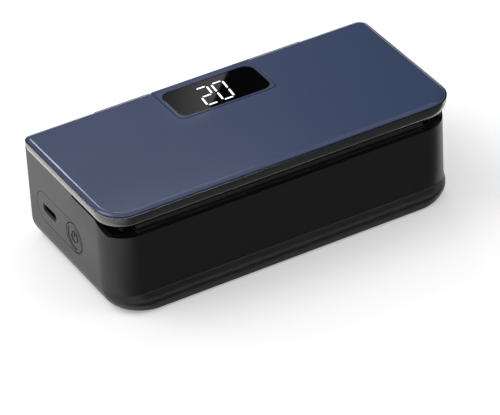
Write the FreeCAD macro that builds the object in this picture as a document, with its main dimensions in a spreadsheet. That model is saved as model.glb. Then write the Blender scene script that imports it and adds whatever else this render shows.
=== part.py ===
import FreeCAD, Part
# Countertop vacuum sealer: a hinged lid over a deck with a vacuum trough and a heater bar.
# Frame: origin under the middle of the object on the surface it stands on, +X along the
# length to the right, +Y from the mouth to the hinge, +Z up. Millimetres.
import math
import os
import re

import Sketcher
from FreeCAD import Placement, Rotation, Vector

# Driving dimensions, one cell each, grouped by what they describe.
SIZES = {
    # overall: the body's outline follows the lid's
    "lid_length": 190, "lid_depth": 88, "body_height": 50.6, "side_overhang": 1.2,
    "front_overhang": 1.6, "lid_setback": 3.6, "toe_flare": 2.8, "foot_proud": 1,
    # outline corners and edges
    "lid_front_corner": 14.6, "lid_back_corner": 4.7,
    "body_front_corner": 15.7, "body_back_corner": 5.5, "edge_break": 0.6,
    # shell
    "wall": 2.2, "base_seam": 3.3, "hull_round": 9, "hull_tuck": 6, "seat_gap": 0.1,
    # the rim drops from the back to the bag mouth: heights below the top, places from the front
    "side_drop": 2.2, "mouth_drop": 8.1, "rim_step": 38.4, "slope_back": 15.6,
    "slope_front": 7.6,
    # deck, trough and seals
    "deck_drop": 1, "deck_plate": 2, "ledge": 3, "trough_depth": 8.5, "trough_margin": 3,
    "trough_gap": 2.5, "trough_wall": 1.6, "trough_corner": 4, "seal_width": 5,
    "seal_margin": 7.6, "seal_setback": 3.1, "seal_back_gap": 3.2, "seal_corner": 8,
    "seal_groove": 0.8, "seal_proud": 2.1, "seal_gap": 0.3, "heater_margin": 6,
    "heater_width": 7, "heater_setback": 1.8, "heater_height": 1.4, "wire_width": 3,
    "wire_thick": 0.3, "tape_width": 8.6, "tape_thick": 0.2, "strip_groove": 1.5,
    "port_inset": 9, "nozzle_dia": 3.2,
    # lid
    "mouth_height": 3.5, "plate_height": 1.3, "plate_inset": 0.8, "plate_fall": 0.8,
    "plate_slope": 1.6, "plate_rib": 2, "lid_tuck": 5.3, "lid_rim": 4, "lid_floor": 3.4,
    "lid_overhang": 0.4, "lid_band": 4.3, "nest_gap": 0.6, "chamber_recess": 1,
    # hinge
    "hinge_sink": 0.2, "hinge_back": 0.4, "knuckle": 2.8, "knuckle_gap": 0.4,
    "knuckle_length": 30, "ear_length": 6, "pin_dia": 2.5, "pin_hold": 7,
    "running_fit": 0.05, "press_fit": 0.02,
    # display block
    "display_width": 53.6, "display_shift": 1.6, "display_depth": 30.6, "display_lead": 0.7,
    "display_gap": 0.35, "display_corner": 3.5, "lens_width": 50.5, "lens_depth": 24,
    "lens_margin": 4.8, "lens_corner": 5.6, "lens_thick": 1.5, "lens_sink": 0.1,
    "digit_height": 16.7, "digit_width": 7.4, "digit_stroke": 1.3, "digit_gap": 0.35,
    "digit_pitch": 8.7, "digit_shift": 1.35, "digit_drop": 1.2, "digit_slant": 0.11,
    "led_height": 4,
    # control panel in the left end
    "pill_length": 47, "pill_height": 17.3, "pill_z": 24.4, "pill_shift": 10.8,
    "panel_gap": 0.2, "panel_lip": 1.5, "panel_back": 1.2, "button_dia": 15,
    "button_gap": 0.4, "button_travel": 0.6, "socket_inset": 13.4, "socket_length": 13.6,
    "socket_height": 4.8, "socket_depth": 4.5, "plug_length": 9, "plug_height": 3.3,
    "board_back": 12, "board_thick": 1.6,
    # base, screws and feet
    "boss_dia": 6.4, "boss_inset": 5.2, "screw_dia": 2.8, "screw_head": 5.2,
    "head_height": 1.2, "foot_dia": 11, "foot_depth": 2, "foot_inset": 22,
    # pump, cells and main board
    "pump_dia": 24, "motor_length": 32, "pump_head_length": 26, "pump_x": -6,
    "pump_gap": 8.4, "pad_height": 2, "cell_dia": 18.4, "cell_length": 65, "cell_x": 2,
    "cell_gap": 5, "cell_pitch": 19.2, "cradle_wall": 1.6, "main_board_length": 56,
    "main_board_width": 60, "main_board_z": 9, "post_dia": 5, "post_inset": 3.5,
    "hose_dia": 5,
}

document = FreeCAD.newDocument("VacuumSealer")
sheet = document.addObject("Spreadsheet::Sheet", "Sizes")
for row, (alias, size) in enumerate(SIZES.items(), start=1):
    sheet.set(f"A{row}", alias)
    sheet.set(f"B{row}", str(size))
    sheet.setAlias(f"B{row}", alias)
document.recompute()

NODES = []      # finished sub-parts, each written to its own file


# ---------------------------------------------------------------- expressions and sketches
def cells(text):
    """Formula with every size name pointed at its cell in the sheet."""
    return re.sub(r"[a-z]\w*", lambda word: "Sizes." + word[0] if word[0] in SIZES else word[0],
                  str(text))


def number(text):
    """Present value of a formula."""
    return float(sheet.evalExpression(cells(text)))


def bind(thing, path, text):
    thing.setExpression(path, cells(text))


def negative(text):
    return f"(0 - {text})"


def dimension(sketch, kind, geometry, point, text):
    """Distance of one point of the sketch from its origin, bound to a formula."""
    index = sketch.addConstraint(
        Sketcher.Constraint(kind, -1, 1, geometry, point, number(text)))
    bind(sketch, f"Constraints[{index}]", text)


def radius(sketch, geometry, text):
    index = sketch.addConstraint(Sketcher.Constraint("Radius", geometry, number(text)))
    bind(sketch, f"Constraints[{index}]", text)


def outline(low_u, high_u, low_v, high_v, low_corner=None, high_corner=None):
    """Rectangle; its two low and two high corners are each round or sharp."""
    def draw(sketch):
        u0, u1, v0, v1 = (number(text) for text in (low_u, high_u, low_v, high_v))
        low = number(low_corner) if low_corner else 0
        high = number(high_corner) if high_corner else 0
        chain = []      # (geometry index, is it a corner arc)

        def side(start, end):
            chain.append((sketch.addGeometry(Part.LineSegment(Vector(*start), Vector(*end))),
                          False))

        def corner(size, u, v, start):
            if size:
                circle = Part.Circle(Vector(u, v, 0), Vector(0, 0, 1), size)
                arc = Part.ArcOfCircle(circle, start, start + math.pi / 2)
                chain.append((sketch.addGeometry(arc), True))

        side((u0 + low, v0, 0), (u1 - low, v0, 0))
        corner(low, u1 - low, v0 + low, -math.pi / 2)
        side((u1, v0 + low, 0), (u1, v1 - high, 0))
        corner(high, u1 - high, v1 - high, 0)
        side((u1 - high, v1, 0), (u0 + high, v1, 0))
        corner(high, u0 + high, v1 - high, math.pi / 2)
        side((u0, v1 - high, 0), (u0, v0 + low, 0))
        corner(low, u0 + low, v0 + low, math.pi)
        sides = [index for index, round_corner in chain if not round_corner]
        arcs = [index for index, round_corner in chain if round_corner]
        for (here, here_arc), (there, there_arc) in zip(chain, chain[1:] + chain[:1]):
            kind = "Tangent" if here_arc or there_arc else "Coincident"
            sketch.addConstraint(Sketcher.Constraint(kind, here, 2, there, 1))
        for index in sides[0::2]:
            sketch.addConstraint(Sketcher.Constraint("Horizontal", index))
        for index in sides[1::2]:
            sketch.addConstraint(Sketcher.Constraint("Vertical", index))
        dimension(sketch, "DistanceY", sides[0], 1, low_v)
        dimension(sketch, "DistanceX", sides[1], 1, high_u)
        dimension(sketch, "DistanceY", sides[2], 1, high_v)
        dimension(sketch, "DistanceX", sides[3], 1, low_u)
        corners = [text for text in (low_corner, high_corner, high_corner, low_corner) if text]
        for index, text in zip(arcs, corners):
            radius(sketch, index, text)
    return draw


def slot(low_u, high_u, middle_v, end_radius):
    """Outline with two straight sides and two half-round ends."""
    def draw(sketch):
        size = number(end_radius)
        start, end, v = number(low_u) + size, number(high_u) - size, number(middle_v)
        up = Vector(0, 0, 1)
        below = sketch.addGeometry(Part.LineSegment(Vector(start, v - size, 0),
                                                    Vector(end, v - size, 0)))
        right = sketch.addGeometry(Part.ArcOfCircle(
            Part.Circle(Vector(end, v, 0), up, size), -math.pi / 2, math.pi / 2))
        above = sketch.addGeometry(Part.LineSegment(Vector(end, v + size, 0),
                                                    Vector(start, v + size, 0)))
        left = sketch.addGeometry(Part.ArcOfCircle(
            Part.Circle(Vector(start, v, 0), up, size), math.pi / 2, 3 * math.pi / 2))
        ring = [below, right, above, left]
        for here, there in zip(ring, ring[1:] + ring[:1]):
            sketch.addConstraint(Sketcher.Constraint("Tangent", here, 2, there, 1))
        for line in (below, above):
            sketch.addConstraint(Sketcher.Constraint("Horizontal", line))
        radius(sketch, right, end_radius)
        dimension(sketch, "DistanceX", right, 3, f"({high_u} - {end_radius})")
        dimension(sketch, "DistanceX", left, 3, f"({low_u} + {end_radius})")
        dimension(sketch, "DistanceY", right, 3, middle_v)
    return draw


def disc(u, v, size):
    """Circle of the given radius."""
    def draw(sketch):
        circle = sketch.addGeometry(
            Part.Circle(Vector(number(u), number(v), 0), Vector(0, 0, 1), number(size)))
        dimension(sketch, "DistanceX", circle, 3, u)
        dimension(sketch, "DistanceY", circle, 3, v)
        radius(sketch, circle, size)
    return draw


def polygon(points):
    """Straight-sided outline through the given points."""
    def draw(sketch):
        places = [Vector(number(u), number(v), 0) for u, v in points]
        lines = [sketch.addGeometry(Part.LineSegment(here, there))
                 for here, there in zip(places, places[1:] + places[:1])]
        for here, there in zip(lines, lines[1:] + lines[:1]):
            sketch.addConstraint(Sketcher.Constraint("Coincident", here, 2, there, 1))
        for line, (u, v) in zip(lines, points):
            dimension(sketch, "DistanceX", line, 1, u)
            dimension(sketch, "DistanceY", line, 1, v)
    return draw


# ---------------------------------------------------------------- solids
def new_body(name):
    return document.addObject("PartDesign::Body", name)


def sketch_on(body, plane, height, draw, origin=("0", "0")):
    """Sketch on one of the body's own planes, raised by height and centred at origin."""
    sketch = body.newObject("Sketcher::SketchObject", f"{body.Name}_sketch")
    base = next(item for item in body.Origin.OriginFeatures if item.Role == plane)
    sketch.AttachmentSupport = (base, [""])
    sketch.MapMode = "FlatFace"
    bind(sketch, "AttachmentOffset.Base.x", origin[0])
    bind(sketch, "AttachmentOffset.Base.y", origin[1])
    bind(sketch, "AttachmentOffset.Base.z", height)
    draw(sketch)
    return sketch


def raise_pad(body, plane, start, end, draw):
    """Solid between two heights of a plane: XY runs along Z, YZ runs along X."""
    pad = body.newObject("PartDesign::Pad", f"{body.Name}_pad")
    pad.Profile = sketch_on(body, plane, start, draw)
    bind(pad, "Length", f"({end} - {start})")
    document.recompute()
    return body


def cut_pocket(body, plane, start, end, draw):
    """Hollow between two heights of a plane."""
    before = body.Shape.Volume
    pocket = body.newObject("PartDesign::Pocket", f"{body.Name}_pocket")
    pocket.Profile = sketch_on(body, plane, start, draw)
    pocket.Reversed = True
    bind(pocket, "Length", f"({end} - {start})")
    document.recompute()
    if body.Shape.Volume > before - 1e-3:
        raise RuntimeError(f"a pocket of {body.Name} cuts nothing")
    return body


def prism(name, plane, start, end, draw):
    return raise_pad(new_body(name), plane, start, end, draw)


def round_edges(body, size, choose):
    """Fillet of one radius on every edge that choose() accepts."""
    document.recompute()
    base = body.Tip
    names = [f"Edge{index}" for index, edge in enumerate(base.Shape.Edges, start=1)
             if choose(edge)]
    if not names:
        raise RuntimeError(f"no edge of {body.Name} to round")
    fillet = body.newObject("PartDesign::Fillet", f"{body.Name}_fillet")
    fillet.Base = (base, names)
    bind(fillet, "Radius", size)
    document.recompute()
    return body


def level_edge(height):
    """Chooses the edges that lie at one height."""
    level = number(height)
    return lambda edge: (abs(edge.BoundBox.ZMin - level) < 1e-4
                         and abs(edge.BoundBox.ZMax - level) < 1e-4)


def cylinder(name, along, start, end, u, v, size):
    """Cylinder along X or Z, between start and end, at (y, z) or (x, y)."""
    rod = document.addObject("Part::Cylinder", name)
    bind(rod, "Radius", size)
    bind(rod, "Height", f"({end} - {start})")
    if along == "X":
        rod.Placement = Placement(Vector(), Rotation(Vector(0, 1, 0), 90))
        places = (start, u, v)
    else:
        places = (u, v, start)
    for axis, text in zip("xyz", places):
        bind(rod, f"Placement.Base.{axis}", text)
    return rod


def block(name, x0, x1, y0, y1, z0, z1):
    brick = document.addObject("Part::Box", name)
    for side, low, high in (("Length", x0, x1), ("Width", y0, y1), ("Height", z0, z1)):
        bind(brick, side, f"({high} - {low})")
    for axis, text in zip("xyz", (x0, y0, z0)):
        bind(brick, f"Placement.Base.{axis}", text)
    return brick


def fuse(name, *parts):
    union = document.addObject("Part::MultiFuse", name)
    union.Shapes = list(parts)
    union.Refine = True
    return union


def group(name, *parts):
    """Several solids that stay apart but share one sub-part."""
    compound = document.addObject("Part::Compound", name)
    compound.Links = list(parts)
    return compound


def cut(name, base, *tools):
    tool = tools[0] if len(tools) == 1 else fuse(f"{name}_tools", *tools)
    difference = document.addObject("Part::Cut", name)
    difference.Base = base
    difference.Tool = tool
    difference.Refine = True
    return difference


def common(name, first, second):
    overlap = document.addObject("Part::Common", name)
    overlap.Base = first
    overlap.Tool = second
    overlap.Refine = True
    return overlap


def finish(node, thing):
    """Name a finished sub-part and put it on the list that is written."""
    thing.Label = node
    NODES.append(thing)
    return thing


# ---------------------------------------------------------------- shared places
BODY_LENGTH = "(lid_length - 2 * side_overhang)"
BODY_DEPTH = "(lid_depth - front_overhang + lid_setback)"
DEPTH = f"({BODY_DEPTH} + toe_flare)"
BACK = f"({DEPTH} / 2)"
FRONT = f"({BACK} - {BODY_DEPTH})"
BODY_X = f"({BODY_LENGTH} / 2)"
LID_X = "(lid_length / 2)"
LID_BACK = f"({BACK} - lid_setback)"
LID_FRONT = f"({LID_BACK} - lid_depth)"
INNER_X = f"({BODY_X} - wall)"
INNER_FRONT = f"({FRONT} + wall)"
INNER_BACK = f"({BACK} - wall)"
# heights
RIM_SIDE = "(body_height - side_drop)"
RIM_FRONT = "(body_height - mouth_drop)"
DECK_TOP = f"({RIM_FRONT} - deck_drop)"
LEDGE_TOP = f"({DECK_TOP} - deck_plate)"
TROUGH_FLOOR = f"({DECK_TOP} - trough_depth)"
LID_BOTTOM = f"({RIM_FRONT} + mouth_height)"
LID_REBATE = "(body_height + lid_overhang)"     # underside of the lid over the rim
LID_SEAM = f"({LID_REBATE} + lid_band)"
LID_SCREW_TOP = f"({LID_SEAM} - 1)"
TOP = f"({LID_SEAM} + plate_height)"
HULL_TOP = "(foot_proud + hull_round)"
# hinge line, along X
HINGE_Y = f"({LID_BACK} + hinge_back)"
HINGE_Z = "(body_height - hinge_sink)"
# rim changes
STEP_Y = f"({FRONT} + rim_step)"
SLOPE_BACK = f"({FRONT} + slope_back)"
SLOPE_FRONT = f"({FRONT} + slope_front)"
# display block
BLOCK_LEFT = "(display_shift - display_width / 2)"
BLOCK_RIGHT = "(display_shift + display_width / 2)"
BLOCK_FRONT = f"({LID_BACK} - display_depth)"
# seals, heater and trough, from the front of the deck backwards
HEATER_FRONT = f"({INNER_FRONT} + heater_setback)"
HEATER_Y = f"({HEATER_FRONT} + heater_width / 2)"
HEATER_TOP = f"({DECK_TOP} + heater_height)"
STACK_TOP = f"({HEATER_TOP} + wire_thick + tape_thick)"
SEAL_FRONT = f"({HEATER_FRONT} + heater_width + seal_setback)"
SEAL_BACK = f"({BLOCK_FRONT} - seal_back_gap)"
SEAL_LENGTH = f"({BODY_LENGTH} - 2 * wall - 2 * seal_margin)"
LOWER_SEAL_TOP = f"({DECK_TOP} + seal_proud)"
HEATER_LENGTH = f"({SEAL_LENGTH} - 2 * heater_margin)"
TROUGH_LENGTH = f"({SEAL_LENGTH} - 2 * seal_width - 2 * trough_margin)"
TROUGH_FRONT = f"({SEAL_FRONT} + seal_width + trough_gap)"
TROUGH_BACK = f"({SEAL_BACK} - seal_width - trough_gap)"
SUCTION = (f"({TROUGH_LENGTH} / 2 - port_inset)", f"(({TROUGH_FRONT} + {TROUGH_BACK}) / 2)")
UPPER_SEAL_BOTTOM = f"({LOWER_SEAL_TOP} + seal_gap)"
STEM_BOTTOM = f"({TROUGH_FLOOR} - trough_wall - 6)"
# control panel
FACE_X = negative(BODY_X)                        # outer face of the left end
PANEL_INNER = f"({FACE_X} + wall + panel_back)"  # back face of the control panel
BOARD_X = f"({FACE_X} + board_back)"             # front face of the board behind the panel
PILL_FRONT = "(pill_shift - pill_length / 2)"
PILL_BACK = "(pill_shift + pill_length / 2)"
BUTTON_Y = f"({PILL_FRONT} + pill_height / 2)"
SOCKET_Y = f"({PILL_BACK} - socket_inset)"
# pump, cells and board
PUMP_Y = f"({INNER_FRONT} + pump_gap + pump_dia / 2)"
PUMP_Z = "(base_seam + pad_height + pump_dia / 2 + panel_gap)"
CELL_Y = f"({INNER_BACK} - cell_gap - cell_dia / 2)"
CELL_Z = "(base_seam + cradle_wall + cell_dia / 2)"
MAIN_BOARD_X = "(pump_x - 12 - main_board_length)"
MAIN_BOARD_TOP = "(main_board_z + board_thick)"


def centred(length):
    return negative(f"({length} / 2)"), f"({length} / 2)"


def inset_outline(offset):
    """Body outline moved inwards, with its corners concentric."""
    return outline(f"(0 - {BODY_X} + {offset})", f"({BODY_X} - {offset})",
                   f"({FRONT} + {offset})", f"({BACK} - {offset})",
                   f"(body_front_corner - {offset})", f"max(body_back_corner - {offset}; 1)")


def lid_outline(offset):
    """Lid outline moved inwards."""
    return outline(f"(0 - {LID_X} + {offset})", f"({LID_X} - {offset})",
                   f"({LID_FRONT} + {offset})", f"({LID_BACK} - {offset})",
                   f"(lid_front_corner - {offset})", f"max(lid_back_corner - {offset}; 1)")


# ---------------------------------------------------------------- body shell and base
def hull_section(body, height):
    """Plan outline of the lower body: tucked in at the ends and back, flared at the front."""
    rise = f"max(1 - ({height} - foot_proud) / hull_round; 0)"
    tuck = f"(hull_tuck * (1 - sqrt(1 - ({rise})^2)))"
    flare = f"(toe_flare * min(({rise}) * 2.2; 1))"
    draw = outline(f"(0 - {BODY_X} + {tuck})", f"({BODY_X} - {tuck})",
                   f"({FRONT} - {flare})", f"({BACK} - {tuck})",
                   "body_front_corner", "body_back_corner")
    return sketch_on(body, "XY_Plane", height, draw)


def make_hull(name, low, high, steps):
    """Part of the lower body's outer form, lofted through evenly spaced outlines."""
    body = new_body(name)
    heights = [f"({low} + ({high} - {low}) * {step} / {steps})" for step in range(steps + 1)]
    sections = [hull_section(body, height) for height in heights]
    loft = body.newObject("PartDesign::AdditiveLoft", f"{name}_loft")
    loft.Profile = sections[0]
    loft.Sections = sections[1:]
    document.recompute()
    return body


def boss_places():
    """Middles of the four screw bosses in the corners of the body."""
    rear_x = f"({INNER_X} - boss_inset)"
    rear_y = f"({INNER_BACK} - boss_inset)"
    front_x = f"({BODY_X} - body_front_corner * 0.7)"
    front_y = f"({FRONT} + body_front_corner * 0.7)"
    return {"rear_left": (negative(rear_x), rear_y), "rear_right": (rear_x, rear_y),
            "front_left": (negative(front_x), front_y), "front_right": (front_x, front_y)}


def rim_profile():
    """Everything above the rim's stepped edge, across the whole length."""
    above = f"({TOP} + 10)"
    before, behind = f"({FRONT} - 20)", f"({BACK} + 20)"
    points = [(before, RIM_FRONT), (SLOPE_FRONT, RIM_FRONT), (SLOPE_BACK, RIM_SIDE),
              (STEP_Y, RIM_SIDE), (STEP_Y, "body_height"), (behind, "body_height"),
              (behind, above), (before, above)]
    return prism("shell_rim", "YZ_Plane", negative(LID_X), LID_X, polygon(points))


def ear_span(side):
    """X range of the body's outer hinge ear on one side, outer end last."""
    edge = BLOCK_RIGHT if side > 0 else negative(BLOCK_LEFT)
    start = f"({edge} + knuckle_gap + knuckle_length + knuckle_gap)"
    end = f"({start} + ear_length)"
    return (start, end) if side > 0 else (negative(end), negative(start))


def make_body_shell():
    upper = prism("shell_upper", "XY_Plane", HULL_TOP, "body_height", inset_outline("0"))
    round_edges(upper, "edge_break", level_edge("body_height"))
    outer = fuse("shell_outer", upper,
                 make_hull("shell_hull", "base_seam", HULL_TOP, 4))
    lower_hollow = prism("shell_lower_hollow", "XY_Plane", "0", HULL_TOP,
                         inset_outline("(wall + hull_tuck * 0.35)"))
    hollow = prism("shell_hollow", "XY_Plane", HULL_TOP, f"({LEDGE_TOP} - deck_plate)",
                   inset_outline("wall"))
    ledge = prism("shell_ledge", "XY_Plane", f"({LEDGE_TOP} - deck_plate - 1)", LEDGE_TOP,
                  inset_outline("(wall + ledge)"))
    recess = prism("shell_recess", "XY_Plane", LEDGE_TOP, TOP, inset_outline("wall"))
    left_ear, right_ear = ear_span(-1), ear_span(1)
    hinge_gap = block("shell_hinge_gap", left_ear[1], right_ear[0], f"({INNER_BACK} - 1)",
                      f"({BACK} + 1)", f"({HINGE_Z} - knuckle - knuckle_gap)", TOP)
    panel_hole = prism("shell_panel_hole", "YZ_Plane", f"({FACE_X} - 1)",
                       f"({FACE_X} + wall + hull_tuck)",
                       slot(PILL_FRONT, PILL_BACK, "pill_z", "(pill_height / 2)"))
    shell = cut("shell_cut", outer, lower_hollow, hollow, ledge, recess, rim_profile(),
                hinge_gap, panel_hole)
    ears = []
    for tag, (start, end) in (("left", left_ear), ("right", right_ear)):
        ears.append(cylinder(f"ear_{tag}", "X", start, end, HINGE_Y, HINGE_Z, "knuckle"))
        ears.append(block(f"ear_web_{tag}", start, end, f"({HINGE_Y} - knuckle)",
                          f"({HINGE_Y} + knuckle)", DECK_TOP, HINGE_Z))
    bosses = [cylinder(f"boss_{tag}", "Z", "base_seam", LEDGE_TOP, x, y, "(boss_dia / 2)")
              for tag, (x, y) in boss_places().items()]
    whole = fuse("shell_whole", shell, *ears, *bosses)
    bores = [cylinder(f"boss_bore_{tag}", "Z", "0", DECK_TOP, x, y,
                      "(screw_dia / 2 + press_fit)") for tag, (x, y) in boss_places().items()]
    bore = cylinder("ear_bore", "X", negative(LID_X), LID_X, HINGE_Y, HINGE_Z,
                    "(pin_dia / 2 + press_fit)")
    finish("body_shell", cut("body_shell", whole, bore, *bores))


def foot_places():
    x = f"({BODY_X} - foot_inset)"
    return {"front_left": (negative(x), f"({FRONT} + foot_inset)"),
            "front_right": (x, f"({FRONT} + foot_inset)"),
            "rear_left": (negative(x), f"({BACK} - foot_inset)"),
            "rear_right": (x, f"({BACK} - foot_inset)")}


def board_post_places():
    """Middles of the four posts under the main board."""
    x0, x1 = f"({MAIN_BOARD_X} + post_inset)", f"({MAIN_BOARD_X} + main_board_length - post_inset)"
    y0, y1 = "(0 - main_board_width / 2 + post_inset)", "(main_board_width / 2 - post_inset)"
    return [(x0, y0), (x1, y0), (x0, y1), (x1, y1)]


def make_base():
    plate = make_hull("base_hull", "foot_proud", "base_seam", 3)
    posts = [cylinder(f"board_post_{index}", "Z", "base_seam", "main_board_z", x, y,
                      "(post_dia / 2)") for index, (x, y) in enumerate(board_post_places())]
    sockets = [cylinder(f"foot_socket_{tag}", "Z", "0", "foot_depth", x, y,
                        "(foot_dia / 2 + running_fit)") for tag, (x, y) in foot_places().items()]
    bores, heads = [], []
    for tag, (x, y) in boss_places().items():
        bores.append(cylinder(f"base_bore_{tag}", "Z", "0", "base_seam", x, y,
                              "(screw_dia / 2 + press_fit)"))
        heads.append(cylinder(f"base_head_{tag}", "Z", "0", "(base_seam - head_height)", x, y,
                              "(screw_head / 2 + panel_gap)"))
    whole = fuse("base_whole", plate, *posts)
    finish("base_cover", cut("base_cover", whole, *sockets, *bores, *heads))
    for tag, (x, y) in foot_places().items():
        finish(f"foot_{tag}", cylinder(f"foot_{tag}", "Z", "0", "foot_depth", x, y,
                                       "(foot_dia / 2)"))


def screws(node, places, head_low, head_high, tip, head=None, shank=None):
    """Fasteners along Z with a round head, one solid each; the tip may be above or below."""
    head, shank = head or "screw_head", shank or "screw_dia"
    group_parts = []
    for index, (x, y) in enumerate(places):
        cap = cylinder(f"{node}_head_{index}", "Z", head_low, head_high, x, y, f"({head} / 2)")
        low, high = (tip, head_low) if number(tip) < number(head_low) else (head_high, tip)
        rod = cylinder(f"{node}_shank_{index}", "Z", low, high, x, y, f"({shank} / 2)")
        group_parts.append(fuse(f"{node}_{index}", cap, rod))
    finish(node, group(node, *group_parts))


# ---------------------------------------------------------------- deck
def make_deck():
    low, high = centred(TROUGH_LENGTH)
    deck = prism("deck", "XY_Plane", LEDGE_TOP, DECK_TOP, inset_outline("(wall + seat_gap)"))
    raise_pad(deck, "XY_Plane", f"({TROUGH_FLOOR} - trough_wall)", LEDGE_TOP,
              outline(f"({low} - trough_wall)", f"({high} + trough_wall)",
                      f"({TROUGH_FRONT} - trough_wall)", f"({TROUGH_BACK} + trough_wall)",
                      "(trough_corner + trough_wall)", "(trough_corner + trough_wall)"))
    cut_pocket(deck, "XY_Plane", TROUGH_FLOOR, DECK_TOP,
               outline(low, high, TROUGH_FRONT, TROUGH_BACK, "trough_corner", "trough_corner"))
    groove = seal_ring("deck_groove", f"({DECK_TOP} - seal_groove)", DECK_TOP, "seat_gap")
    port = cylinder("deck_port", "Z", "0", DECK_TOP, *SUCTION, "(nozzle_dia + seat_gap)")
    bores, heads = [], []
    for tag, (x, y) in boss_places().items():
        bores.append(cylinder(f"deck_bore_{tag}", "Z", "0", DECK_TOP, x, y,
                              "(screw_dia / 2 + press_fit)"))
        heads.append(cylinder(f"deck_head_{tag}", "Z", f"({DECK_TOP} - head_height)", DECK_TOP,
                              x, y, "(screw_head / 2 + seat_gap)"))
    finish("deck_tray", cut("deck_tray", deck, groove, port, *bores, *heads))


def seal_ring(name, low, high, grow):
    """Rounded loop of the seal's width between two heights, wider by grow on each side."""
    left, right = centred(SEAL_LENGTH)
    ring = prism(name, "XY_Plane", low, high,
                 outline(f"({left} - {grow})", f"({right} + {grow})", f"({SEAL_FRONT} - {grow})",
                         f"({SEAL_BACK} + {grow})", f"(seal_corner + {grow})",
                         f"(seal_corner + {grow})"))
    inner = f"(seal_width + {grow})"
    cut_pocket(ring, "XY_Plane", low, high,
               outline(f"({left} + {inner})", f"({right} - {inner})", f"({SEAL_FRONT} + {inner})",
                       f"({SEAL_BACK} - {inner})", f"(seal_corner - {inner})",
                       f"(seal_corner - {inner})"))
    return ring


def strip_block(name, length, width, low, high):
    """Straight bar along X, centred over the heater."""
    left, right = centred(length)
    return prism(name, "XY_Plane", low, high,
                 outline(left, right, f"({HEATER_Y} - {width} / 2)",
                         f"({HEATER_Y} + {width} / 2)", "1", "1"))


def make_seals_and_heater():
    finish("lower_seal", seal_ring("lower_seal", f"({DECK_TOP} - seal_groove)",
                                   LOWER_SEAL_TOP, "0"))
    finish("heater_bar", strip_block("heater_bar", HEATER_LENGTH, "heater_width",
                                     DECK_TOP, HEATER_TOP))
    finish("heater_wire", strip_block("heater_wire", f"({HEATER_LENGTH} - 4)", "wire_width",
                                      HEATER_TOP, f"({HEATER_TOP} + wire_thick)"))
    tape = strip_block("tape_blank", f"({HEATER_LENGTH} + 2)", "tape_width", HEATER_TOP,
                       STACK_TOP)
    bed = strip_block("tape_bed", f"({HEATER_LENGTH} - 4)", "wire_width", HEATER_TOP,
                      f"({HEATER_TOP} + wire_thick)")
    finish("heater_tape", cut("heater_tape", tape, bed))
    strainer = cylinder("strainer_disc", "Z", TROUGH_FLOOR,
                        f"({TROUGH_FLOOR} + 1)", *SUCTION, "(nozzle_dia + 1.6)")
    stem = cylinder("port_stem", "Z", STEM_BOTTOM,
                    TROUGH_FLOOR, *SUCTION, "nozzle_dia / 2 + 0.6")
    finish("suction_port", fuse("suction_port", strainer, stem))


# ---------------------------------------------------------------- lid
def lid_shell_section(body, height):
    """Plan outline of the black lower lid shell, which tucks in like a boat's hull."""
    drop = f"(({LID_SEAM} - {height}) / ({LID_SEAM} - {LID_BOTTOM}))"
    offset = f"(lid_tuck * ({drop})^3)"
    draw = outline(f"(0 - {LID_X} + {offset})", f"({LID_X} - {offset})",
                   f"({LID_FRONT} + {offset})", f"({LID_BACK} - {offset})",
                   f"(lid_front_corner - {offset} / 2)", "lid_back_corner")
    return sketch_on(body, "XY_Plane", height, draw)


def drum(name, gap):
    """Form swept about the hinge line that the display block fills and the lid clears."""
    reach = f"sqrt(({HINGE_Y} - {BLOCK_FRONT})^2 + ({TOP} - {HINGE_Z})^2)"
    profile = outline(f"({BLOCK_LEFT} - {gap})", f"({BLOCK_RIGHT} + {gap})",
                      f"(0 - {reach} - {gap})", "0", f"(display_corner + {gap})")
    body = new_body(name)
    sketch = sketch_on(body, "XY_Plane", HINGE_Z, profile, ("0", HINGE_Y))
    turn = body.newObject("PartDesign::Revolution", f"{name}_turn")
    turn.Profile = sketch
    turn.ReferenceAxis = (sketch, ["H_Axis"])
    turn.Angle = 360
    document.recompute()
    return body


def knuckle_span(side):
    """X range of the lid's hinge knuckle on one side of the display block."""
    edge = BLOCK_RIGHT if side > 0 else negative(BLOCK_LEFT)
    start = f"({edge} + knuckle_gap)"
    end = f"({start} + knuckle_length)"
    return (start, end) if side > 0 else (negative(end), negative(start))


def ear_clearances(prefix):
    """Slots in the lid's back edge for the body's two hinge ears."""
    tools = []
    for tag, side in (("left", -1), ("right", 1)):
        start, end = ear_span(side)
        start, end = f"({start} - knuckle_gap)", f"({end} + knuckle_gap)"
        reach = "(knuckle + knuckle_gap)"
        tools.append(cylinder(f"{prefix}_ear_{tag}", "X", start, end, HINGE_Y, HINGE_Z, reach))
        tools.append(block(f"{prefix}_ear_web_{tag}", start, end, f"({HINGE_Y} - {reach})",
                           BACK, f"({LID_BOTTOM} - 2)", HINGE_Z))
    return tools


def lid_pocket_outline(gap):
    """Hollow inside the lid's rim, made smaller by a gap."""
    inset = f"(lid_tuck + lid_rim + {gap})"
    return outline(f"(0 - {LID_X} + {inset})", f"({LID_X} - {inset})",
                   f"({LID_FRONT} + {inset})", f"({LID_BACK} - 12 - {gap})",
                   f"(lid_front_corner - 6 - {gap})", "2")


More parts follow.
